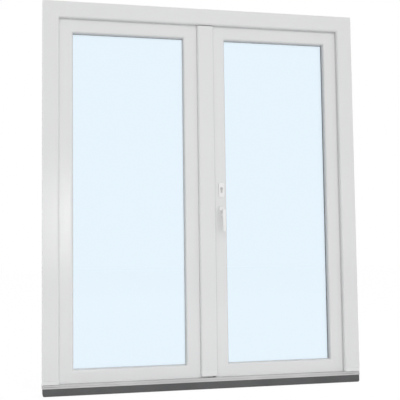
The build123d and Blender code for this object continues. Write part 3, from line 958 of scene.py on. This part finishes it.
@dataclass
class CoverCaps:
    """The moulded caps that close both ends of the astragal's cover, on the room side.

    Attributes:
        height: how far a cap stands past the cover's end.
        frame_gap: how far its back stands clear of the frame.
        wing_gap: how far its side stands clear of the leaf's wing.
        proud: how far it stands past the cover's faces.
        corner_round: the radius of its long corner.
        corner_steps: how many parts that round has.
        edge_round: the radius of the edge at its end.
        edge_segments: how many parts that round has.
        edge_profile: the shape of that round, 0.5 for a circle.
    """

    height: float = 18 * MM
    frame_gap: float = 5 * MM
    wing_gap: float = 0.3 * MM
    proud: float = 0.6 * MM
    corner_round: float = 3 * MM
    corner_steps: int = 6
    edge_round: float = 2 * MM
    edge_segments: int = 4
    edge_profile: float = 0.5

    def dress(self) -> None:
        """Builds the two caps as one piece."""
        low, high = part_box("astragal_inner_cover")
        left = low.x + self.wing_gap
        width = high.x + self.proud - left
        back, face = low.y + self.frame_gap, high.y + self.proud
        bends = [QUARTER_TURN * k / self.corner_steps for k in range(self.corner_steps, -1, -1)]
        arc = [(width - self.corner_round * (1 - math.cos(a)), face - self.corner_round * (1 - math.sin(a)))
               for a in bends]
        section = [(0.0, back), (0.0, face), *arc, (width, back)]
        shape = bmesh.new()
        for start, end in ((low.z, low.z - self.height), (high.z, high.z + self.height)):
            sweep(shape, [Station(left, start, 1, 0), Station(left, end, 1, 0)], section, False)
            rim = [e for e in shape.edges if all(abs(v.co.z - end) < SAME_POINT for v in e.verts)]
            bmesh.ops.bevel(shape, geom=rim, offset=self.edge_round, segments=self.edge_segments,
                            profile=self.edge_profile, affect="EDGES")
        piece_from("cover_end_caps", mesh_from("cover_end_caps", shape), PVC_MOULDED, Body.PASSIVE)


@dataclass
class LockGear:
    """The screws of the lock strip, its keeps and the hinge plates, and the rings round the key plug.

    Attributes:
        screws: the screw maker.
        head: the diameter of the screw heads.
        end_inset: how far the end screws of a strip or a keep sit from its ends.
        strip_screws: how many screws the lock strip has.
        keep_count: how many keeps there are.
        keep_height: the height of a keep.
        hinge_height: the height of a hinge plate.
        hinge_inset: how far its screws sit from its free edge.
        hinge_shares: where they sit along its height, as shares of it.
        frame_plate: the depth of the face of the plates on the frame.
        leaf_plate: the depth of the face of the plates on the leaves.
        plug_drop: how far the key plug's middle lies below the cylinder's top.
        plug_section: the ring's section, as radii from the plug's middle and heights over its foot.
        plug_sink: how far the ring's foot goes into the cylinder's face.
        plug_steps: how many parts the ring has.
    """

    screws: Screws
    head: float = 7 * MM
    end_inset: float = 18 * MM
    strip_screws: int = 10
    keep_count: int = 3
    keep_height: float = 150 * MM
    hinge_height: float = 76 * MM
    hinge_inset: float = 12 * MM
    hinge_shares: tuple[float, ...] = (0.18, 0.5, 0.82)
    frame_plate: float = 42 * MM
    leaf_plate: float = 70 * MM
    plug_drop: float = 8.5 * MM
    plug_section: tuple[Point, ...] = ((6.3 * MM, 0.0), (6.45 * MM, 0.25 * MM), (6.95 * MM, 0.25 * MM),
                                       (7.1 * MM, 0.0))
    plug_sink: float = 0.05 * MM
    plug_steps: int = 40

    def dress(self) -> None:
        """Sets every screw and the plug rings."""
        self.strip()
        self.keeps()
        self.hinges()
        self.plug_rings()

    def strip(self) -> None:
        """Sets the screws along the lock strip."""
        low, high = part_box("lock_strip")
        step = (high.z - low.z - 2 * self.end_inset) / (self.strip_screws - 1)
        middle = (low.y + high.y) / 2
        places = [(Vector((low.x, middle, low.z + self.end_inset + k * step)), Vector((-1, 0, 0)))
                  for k in range(self.strip_screws)]
        self.screws.set_out("lock_strip_screws", places, self.head, Body.ACTIVE)

    def keeps(self) -> None:
        """Sets two screws in each keep on the astragal."""
        low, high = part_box("lock_keeps")
        pitch = (high.z - low.z - self.keep_height) / (self.keep_count - 1)
        middle = (low.y + high.y) / 2
        places = []
        for index in range(self.keep_count):
            centre = low.z + self.keep_height / 2 + index * pitch
            for way in (-1, 1):
                z = centre + way * (self.keep_height / 2 - self.end_inset)
                places.append((Vector((high.x, middle, z)), Vector((1, 0, 0))))
        self.screws.set_out("lock_keep_screws", places, self.head, Body.PASSIVE)

    def hinges(self) -> None:
        """Sets the screws in the hinge plates."""
        for side, sign, leaf in (("left", -1, Body.PASSIVE), ("right", 1, Body.ACTIVE)):
            for half, plate, body in (("frame_halves", self.frame_plate, Body.FRAME),
                                      ("leaf_halves", self.leaf_plate, leaf)):
                low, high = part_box(f"{side}_hinge_{half}")
                outer, inner = (low.x, high.x) if sign < 0 else (high.x, low.x)
                inset = sign * self.hinge_inset
                x = outer - inset if body is Body.FRAME else inner + inset
                places = [(Vector((x, plate, foot + share * self.hinge_height)), Vector((0, 1, 0)))
                          for foot in (low.z, high.z - self.hinge_height) for share in self.hinge_shares]
                self.screws.set_out(f"{side}_hinge_{half}_screws", places, self.head, body)

    def plug_rings(self) -> None:
        """Builds the thin ring that shows round the key plug on both faces of the cylinder."""
        low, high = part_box("lock_cylinder")
        x = (low.x + high.x) / 2
        z = high.z - self.plug_drop
        shape = bmesh.new()
        for face, way in ((low.y, -1), (high.y, 1)):
            rings = [[shape.verts.new((x + radius * math.cos(a), face + way * (height - self.plug_sink),
                                       z + radius * math.sin(a))) for radius, height in self.plug_section]
                     for a in turns(self.plug_steps)]
            skin(shape, rings, True)
        mesh = mesh_from("cylinder_plug_rings", shape)
        piece_from("cylinder_plug_rings", mesh, STEEL_PLATE, Body.ACTIVE)


@dataclass
class Finishes:
    """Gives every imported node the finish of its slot, and the PVC profiles the one of their run."""

    by_slot: dict[Slot, Surface] = field(default_factory=lambda: {
        Slot.PVC: PVC_MOULDED, Slot.BASE: BASE_PLASTIC, Slot.RAIL: RAIL_METAL, Slot.CAP: CAP_PLASTIC,
        Slot.SEAL: SEAL_RUBBER, Slot.GLASS: CLEAR_GLASS, Slot.SPACER: SPACER_METAL, Slot.HINGE: HINGE_COAT,
        Slot.HANDLE: HANDLE_COAT, Slot.STEEL: STEEL_PLATE,
    })

    def of(self, node: str, slot: Slot) -> Surface:
        """Picks a node's finish.

        Args:
            node: the node's name.
            slot: its material slot.

        Returns:
            The finish.
        """
        if node in UPRIGHT_NODES:
            return PVC_UPRIGHT
        if node in CROSSWISE_NODES:
            return PVC_CROSSWISE
        return self.by_slot[slot]

    def dress(self) -> None:
        """Puts the finishes into the nodes' material slots."""
        slots = {row["node"]: Slot(row["material_slot"]) for row in frame["record"]["subparts"]}
        for node, thing in frame["nodes"].items():
            finish = self.of(node, slots[node])
            thing.data.materials.clear()
            thing.data.materials.append(finish.material())
            log.info("%s: %s", node, finish.name)


@dataclass
class PhotoCamera:
    """The camera at the photograph's place, with its field of view.

    Attributes:
        place: where it stands, in metres.
        yaw: how far it turns to the right, in degrees.
        pitch: how far it looks up, in degrees.
        roll: how far it leans, in degrees.
        focal: its focal length, in pixels of the photograph.
        side: the photograph's width and height, in pixels.
        sensor: the width of its sensor, in millimetres.
        clip: the nearest and the farthest distance that it sees, in metres.
    """

    place: Place = (-1.0426, -4.4397, 0.7139)
    yaw: float = 12.93
    pitch: float = 4.21
    roll: float = -0.74
    focal: float = 808.0
    side: float = 400.0
    sensor: float = 36.0
    clip: Point = (0.05, 200.0)

    def build(self) -> None:
        """Makes the camera and gives it to the scene."""
        yaw, pitch, roll = (math.radians(a) for a in (self.yaw, self.pitch, self.roll))
        ahead = Vector((math.sin(yaw) * math.cos(pitch), math.cos(yaw) * math.cos(pitch), math.sin(pitch)))
        right = Vector((math.cos(yaw), -math.sin(yaw), 0.0))
        up = right.cross(ahead)
        across = right * math.cos(roll) + up * math.sin(roll)
        over = up * math.cos(roll) - right * math.sin(roll)
        lens = bpy.data.cameras.new("photo_camera")
        lens.sensor_width = self.sensor
        lens.lens = self.focal / self.side * self.sensor
        lens.clip_start, lens.clip_end = self.clip
        holder = bpy.data.objects.new("photo_camera", lens)
        turn = Matrix((across, over, -ahead)).transposed()
        holder.matrix_world = Matrix.Translation(self.place) @ turn.to_4x4()
        bpy.context.scene.collection.objects.link(holder)
        bpy.context.scene.camera = holder


@dataclass(frozen=True)
class Lamp:
    """A soft lamp: its place, the point that it faces, its width and height, and its power in watts.

    A mirrored lamp shows in glossy surfaces, and a flagged lamp is kept off the glass and the floor.
    """

    name: str
    place: Place
    target: Place
    size: Point
    power: float
    mirrored: bool = False
    flagged: bool = False

    def build(self, solids: bpy.types.Collection) -> None:
        """Makes the lamp.

        Args:
            solids: the pieces that a flagged lamp lights.
        """
        light = bpy.data.lights.new(self.name, "AREA")
        light.shape = "RECTANGLE"
        light.size, light.size_y = self.size
        light.energy = self.power
        holder = bpy.data.objects.new(self.name, light)
        ahead = Vector(self.target) - Vector(self.place)
        holder.location = self.place
        holder.rotation_euler = ahead.to_track_quat("-Z", "Y").to_euler()
        holder.visible_glossy = self.mirrored
        holder.visible_transmission = False
        holder.visible_camera = False
        if self.flagged:
            holder.light_linking.receiver_collection = solids
        bpy.context.scene.collection.objects.link(holder)


@dataclass
class Studio:
    """The pale floor, the white surroundings and the soft lamps.

    Attributes:
        ambient: the strength of the soft light from the door's left and from its right.
        ambient_turn: the directions' X between which it changes.
        floor_colour: the floor's grey.
        floor_reach: how far the floor goes on each side.
        floor_white: the floor's brightness where it keeps no shadow.
        floor_share: the share of that brightness in what is seen of the floor.
        lamps: the lamps.
    """

    ambient: Point = (0.34, 0.66)
    ambient_turn: Point = (-0.9, 0.2)
    floor_colour: float = 0.88
    floor_reach: float = 60.0
    floor_white: float = 1.063
    floor_share: float = 0.88
    lamps: tuple[Lamp, ...] = (
        Lamp("key_softbox", (0.6, -11.0, 5.5), (0.0, 0.0, 0.9), size=(9.0, 6.0), power=374.0),
        Lamp("room_softbox", (-3.0, 13.0, 8.0), (0.0, 0.0, 1.1), size=(10.0, 7.0), power=560.0, flagged=True),
        Lamp("low_softbox", (-0.2, -2.4, 0.10), (0.0, 0.0, 0.10), size=(2.6, 0.12), power=8.0, flagged=True),
        Lamp("strip_softbox", (-0.18, -8.8, 1.40), (-0.80, 0.0, 1.05), size=(0.22, 1.2), power=17.0,
             mirrored=True, flagged=True),
    )

    def build(self) -> None:
        """Makes the floor, the surroundings and the lamps."""
        bpy.context.scene.view_settings.view_transform = "Standard"
        solids = self.solid_pieces()
        self.surroundings()
        self.floor()
        for lamp in self.lamps:
            lamp.build(solids)

    @staticmethod
    def solid_pieces() -> bpy.types.Collection:
        """Gathers every piece of the door but its glass.

        Returns:
            The collection with the pieces.
        """
        gathered = bpy.data.collections.new("solid_pieces")
        glass = CLEAR_GLASS.material()
        for thing in bpy.context.scene.objects:
            if thing.type == "MESH" and glass not in list(thing.data.materials):
                gathered.objects.link(thing)
        return gathered

    def surroundings(self) -> None:
        """Makes the world: white to look at, and otherwise a soft light that fades towards the left."""
        world = bpy.data.worlds.new("studio")
        world.use_nodes = True
        wiring = Wiring(world.node_tree)
        wiring.tree.nodes.clear()
        way = wiring.node("ShaderNodeTexCoord")
        parts = wiring.node("ShaderNodeSeparateXYZ")
        wiring.link(way.outputs["Generated"], parts.inputs["Vector"])
        light, white = (wiring.node("ShaderNodeBackground") for _ in range(2))
        for background in (light, white):
            background.inputs["Color"].default_value = WHITE
        strength = wiring.remap(parts.outputs["X"], self.ambient_turn, self.ambient)
        wiring.link(strength, light.inputs["Strength"])
        white.inputs["Strength"].default_value = 1.0
        wiring.blend(wiring.seen(), light.outputs["Background"], white.outputs["Background"],
                     wiring.node("ShaderNodeOutputWorld"))
        bpy.context.scene.world = world

    def floor(self) -> None:
        """Makes the pale floor, which keeps a share of the door's shadow."""
        reach = self.floor_reach
        mesh = bpy.data.meshes.new("floor")
        mesh.from_pydata([(-reach, -reach, 0), (reach, -reach, 0), (reach, reach, 0), (-reach, reach, 0)], [],
                         [(0, 1, 2, 3)])
        board = Board("floor_pale")
        board.give("Base Color", (self.floor_colour, self.floor_colour, self.floor_colour, 1.0))
        board.give("Roughness", 1.0)
        board.give("Specular IOR Level", 0.0)
        glow = board.node("ShaderNodeEmission")
        glow.inputs["Strength"].default_value = self.floor_white
        share = board.node("ShaderNodeMath", operation="MULTIPLY")
        share.inputs[1].default_value = self.floor_share
        board.link(board.seen(), share.inputs[0])
        board.blend(share.outputs["Value"], board.shader.outputs["BSDF"], glow.outputs["Emission"],
                    board.output)
        mesh.materials.append(board.material)
        plane = bpy.data.objects.new("floor", mesh)
        bpy.context.scene.collection.objects.link(plane)


def main() -> None:
    """Builds the camera, every dressed sub-assembly in order, and the studio round them."""
    PhotoCamera().build()
    Finishes().dress()
    Seals().dress()
    seams = Seams()
    OuterFrame(seams).dress()
    for side in Side:
        Leaf(side, seams).dress()
    CoverCaps().dress()
    LockGear(Screws()).dress()
    Studio().build()


if __name__ == "__main__":
    main()
